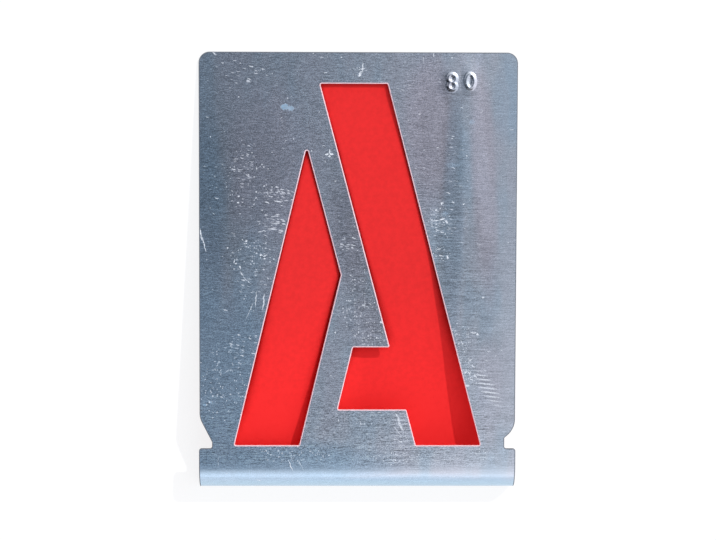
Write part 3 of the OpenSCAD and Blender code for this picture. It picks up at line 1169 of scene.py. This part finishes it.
@dataclass(frozen=True)
class RedCard:
    """The red card that shows through the letter. It is stage, not part of the stencil.

    Sizes are in millimetres. The knots give, at heights on the plate, how far the card lies below
    the plate's back on the right-hand and on the left-hand side. It lies on the floor at most.
    The material's ramps work on places in metres, and the reach of its shading is in metres.
    """

    plate: StencilPlate
    half_width: float = 31.5
    thickness: float = 0.1
    knots: tuple[tuple[float, float, float], ...] = (
        (-4.4, 4.5, 2.9),
        (1.1, 4.3, 2.5),
        (11.5, 3.3, 1.35),
        (21.0, 2.2, 0.65),
        (26.0, 1.65, 0.45),
        (34.3, 0.95, 0.15),
        (41.0, 0.4, 0.06),
        (51.0, 0.16, 0.06),
        (65.0, 0.12, 0.12),
        (80.0, 0.4, 0.4),
        (84.0, 0.2, 0.2),
    )
    side_change: tuple[float, float] = (-10.0, 2.0)
    floor_gap: float = 0.02
    columns: int = 43
    rows: int = 90
    colour: Colour = (0.86, 0.03, 0.03, 1)
    shaded: Colour = (0.2, 0.0, 0.0, 1)
    glow_colour: Colour = (1.0, 0.0, 0.0, 1)
    glow_by_y: Ramp = Ramp(-0.036, 0.006, 0.2, 0)
    shade_by_y: Ramp = Ramp(0.026, 0.036, 1.1, 0.44)
    reach_by_y: Ramp = Ramp(-0.016, 0.006, 0.0028, 0.0011)
    shade_by_open: Ramp = Ramp(0.5, 1.0, 1, 0)
    fibre_rate: float = 900
    shade_by_fibre: Ramp = Ramp(0.25, 0.75, 0, 0.12)

    def height(self, across: np.ndarray, along: np.ndarray) -> np.ndarray:
        """Height of the card's top above the floor at places on the plate."""
        knots = np.array(self.knots)
        gaps = []
        for side in (1, 2):
            slope = np.gradient(knots[:, side], knots[:, 0])
            i = np.clip(np.searchsorted(knots[:, 0], along) - 1, 0, len(knots) - 2)
            span = knots[i + 1, 0] - knots[i, 0]
            t = (along - knots[i, 0]) / span
            first = (1 + 2 * t) * knots[i, side] + t * span * slope[i]
            last = (3 - 2 * t) * knots[i + 1, side] + (t - 1) * span * slope[i + 1]
            gaps.append((1 - t) ** 2 * first + t**2 * last)
        low, high = self.side_change
        t = np.clip((across - low) / (high - low), 0, 1)
        share = t * t * (3 - 2 * t)
        gap = gaps[0] * share + gaps[1] * (1 - share)
        back = (self.plate.top_y - along) * math.sin(self.plate.lean)
        return np.maximum(back - gap, self.thickness + self.floor_gap)

    def material(self) -> bpy.types.Material:
        """Builds the card's matt red, with a little light of its own where it lies deep."""
        material, w = new_material("red_card")
        place = w.term(w.add("ShaderNodeTexCoord"), "Object")
        _, y, _ = w.split(place)
        deep = w.ramp(y, self.glow_by_y)
        close = w.ramp(y, self.shade_by_y)
        fibre = w.noise(place, self.fibre_rate, 3, 0.6)
        reach = w.ramp(y, self.reach_by_y)
        near_metal = w.add("ShaderNodeAmbientOcclusion", {"Distance": reach}, samples=8)
        shade = w.ramp(fibre, self.shade_by_fibre)
        shade = shade + close * w.ramp(w.term(near_metal, "AO"), self.shade_by_open)
        tone = w.blend(shade, self.colour, self.shaded)
        w.surface(
            {
                "Base Color": tone,
                "Roughness": 0.9,
                "Specular IOR Level": 0.1,
                "Emission Color": self.glow_colour,
                "Emission Strength": deep,
            }
        )
        return material

    def build(self) -> bpy.types.Object:
        """Makes the card as a bowed sheet with a thickness."""
        x = np.linspace(-self.half_width, self.half_width, self.columns)
        y = np.linspace(self.knots[0][0], self.knots[-1][0], self.rows)
        across, along = np.meshgrid(x, y)
        top = self.height(across, along)
        laid = along * math.cos(self.plate.lean) + self.plate.shift_y
        sheets = [np.stack((across, laid, top - drop), 2) for drop in (0, self.thickness)]
        points = np.concatenate([sheet.reshape(-1, 3) for sheet in sheets]) * MM
        count, wide = across.size, len(x)
        numbers = np.arange(count).reshape(across.shape)
        faces = []
        for row in range(len(y) - 1):
            for i in range(wide - 1):
                a, b = numbers[row, i], numbers[row, i + 1]
                c, d = numbers[row + 1, i + 1], numbers[row + 1, i]
                faces += [(a, b, c, d), (d + count, c + count, b + count, a + count)]
        rim = [*numbers[0], *numbers[1:, -1], *numbers[-1, -2::-1], *numbers[-2:0:-1, 0]]
        for a, b in zip(rim, rim[1:] + rim[:1]):
            faces.append((a, a + count, b + count, b))
        mesh = bpy.data.meshes.new("red_card")
        mesh.from_pydata(points.tolist(), [], [[int(i) for i in f] for f in faces])
        mesh.polygons.foreach_set("use_smooth", [True] * len(mesh.polygons))
        mesh.materials.append(self.material())
        card = placed("red_card", mesh)
        return card


@dataclass(frozen=True)
class WhiteFloor:
    """A wide white floor that keeps the stencil's soft shadow. Its half width is in metres."""

    half_width: float = 3.0
    paint: Colour = (0.25, 0.25, 0.25, 1)
    lift: float = 0.8

    def material(self) -> bpy.types.Material:
        """Grey paint that looks white by its own light, to the camera and in reflections."""
        material, w = new_material("white_floor")
        path = w.add("ShaderNodeLightPath")
        seen = w.math("MAXIMUM", w.term(path, "Is Camera Ray"), w.term(path, "Is Glossy Ray"))
        seen = w.math("MAXIMUM", seen, w.term(path, "Is Transmission Ray"))
        paint = w.add("ShaderNodeBsdfDiffuse", {"Color": self.paint})
        glow = w.add("ShaderNodeEmission", {"Strength": seen * self.lift})
        both = w.add("ShaderNodeAddShader", {0: w.term(paint), 1: w.term(glow)})
        w.add("ShaderNodeOutputMaterial", {0: w.term(both)})
        return material

    def build(self) -> bpy.types.Object:
        """Makes the floor."""
        r = self.half_width
        mesh = bpy.data.meshes.new("white_floor")
        mesh.from_pydata([(-r, -r, 0), (r, -r, 0), (r, r, 0), (-r, r, 0)], [], [(0, 1, 2, 3)])
        mesh.materials.append(self.material())
        floor = placed("white_floor", mesh)
        return floor


@dataclass(frozen=True)
class Daylight:
    """Soft light all round, darker overhead and to the left, and a low sun from upper right.

    The sky's ramps work on the parts of a direction: x to the right, y towards the top of the
    letter, z up. What the plate mirrors to the camera comes from close to straight overhead.
    """

    sun_azimuth: float = 50
    sun_elevation: float = 35
    sun_spread: float = 1
    sun_strength: float = 1.7
    overhead: float = 0.14
    right_rise: float = 0.34
    near_rise: float = 0.16
    corner_rise: float = 0.5
    far_rise: float = 0.08
    far_corner_rise: float = 0.2
    bright: float = 1.1
    near_gleam: float = 0.16
    right_by_x: Ramp = Ramp(-0.06, 0.12)
    near_by_y: Ramp = Ramp(-0.15, 0.02, 1, 0)
    side_by_y: Ramp = Ramp(-0.8, -0.32, 1, 0)
    side_by_x: Ramp = Ramp(0.15, 0.7)
    far_by_x: Ramp = Ramp(-0.06, 0.0)
    far_by_y: Ramp = Ramp(0.03, 0.12)
    corner_by_x: Ramp = Ramp(0.035, 0.065)
    corner_by_y: Ramp = Ramp(0.078, 0.1)
    gleam_by_y: Ramp = Ramp(-0.84, -0.7, 1, 0)
    round_by_z: Ramp = Ramp(0.34, 0.5, 1, 0)
    tint_by_level: Ramp = Ramp(0.2, 0.65)
    dark_tint: Colour = (0.8, 1.0, 1.27, 1)
    bright_tint: Colour = (1.0, 1.0, 1.06, 1)

    def sun(self) -> None:
        """Makes the sun."""
        lamp = bpy.data.lights.new("sun", "SUN")
        lamp.energy = self.sun_strength
        lamp.angle = math.radians(self.sun_spread)
        azimuth, elevation = math.radians(self.sun_azimuth), math.radians(self.sun_elevation)
        level, rise = math.cos(elevation), math.sin(elevation)
        towards = Vector((level * math.cos(azimuth), level * math.sin(azimuth), rise))
        sun = placed("sun", lamp)
        sun.rotation_euler = towards.to_track_quat("Z", "Y").to_euler()

    def sky(self) -> None:
        """Makes the sky."""
        world = bpy.data.worlds.new("sky")
        bpy.context.scene.world = world
        world.use_nodes = True
        w = Wiring(world.node_tree)
        x, y, z = w.split(w.term(w.add("ShaderNodeTexCoord"), "Generated"))
        right = w.ramp(x, self.right_by_x)
        near = w.ramp(y, self.near_by_y)
        low = self.overhead + self.right_rise * right * right
        low = low + near * (self.near_rise + self.corner_rise * right)
        side = w.math("MAXIMUM", w.ramp(y, self.side_by_y), w.ramp(x, self.side_by_x))
        low = low + self.far_rise * w.ramp(x, self.far_by_x) * w.ramp(y, self.far_by_y)
        corner = self.far_corner_rise * w.ramp(x, self.corner_by_x) * w.ramp(y, self.corner_by_y)
        low = low + corner
        bright = self.bright + self.near_gleam * w.ramp(y, self.gleam_by_y)
        level = low + (bright - low) * side
        level = level + (1.0 - level) * w.ramp(z, self.round_by_z)
        tint = w.blend(w.ramp(level, self.tint_by_level), self.dark_tint, self.bright_tint)
        sky = w.add("ShaderNodeBackground", {0: w.shaded(tint, level)})
        w.add("ShaderNodeOutputWorld", {0: w.term(sky)})


@dataclass(frozen=True)
class Viewpoint:
    """The camera, almost straight above the plate. Sizes are in millimetres and degrees."""

    aim: tuple[float, float, float] = (0.03, 0.74, 3.0)
    distance: float = 450
    tilt: float = -8.37
    side_tilt: float = -0.98
    roll: float = 0.24
    lens: float = 102.3
    sensor: float = 36
    nearest: float = 10
    farthest: float = 20000

    def build(self) -> None:
        """Makes the camera and gives it to the scene."""
        data = bpy.data.cameras.new("camera")
        data.lens, data.sensor_width = self.lens, self.sensor
        data.clip_start, data.clip_end = self.nearest * MM, self.farthest * MM
        turn = (
            Matrix.Rotation(math.radians(self.side_tilt), 3, "Y")
            @ Matrix.Rotation(math.radians(self.tilt), 3, "X")
            @ Matrix.Rotation(math.radians(self.roll), 3, "Z")
        )
        place = (Vector(self.aim) + turn.col[2] * self.distance) * MM
        camera = placed("camera", data)
        camera.matrix_world = Matrix.Translation(place) @ turn.to_4x4()
        bpy.context.scene.camera = camera


def main() -> None:
    """Builds the plate, its stage, its light and its camera."""
    logging.basicConfig(level=logging.INFO, format="%(message)s")
    bpy.context.scene.view_settings.view_transform = "Standard"
    stencil = StencilPlate()
    plate = stencil.build(RolledAluminium().material(), ShearedMetal(stencil).material())
    log.info("%s: %d faces", plate.name, len(plate.data.polygons))
    for prop in (RedCard(stencil).build(), WhiteFloor().build()):
        log.info("%s: stage", prop.name)
    light = Daylight()
    light.sun()
    light.sky()
    Viewpoint().build()


if __name__ == "__main__":
    main()
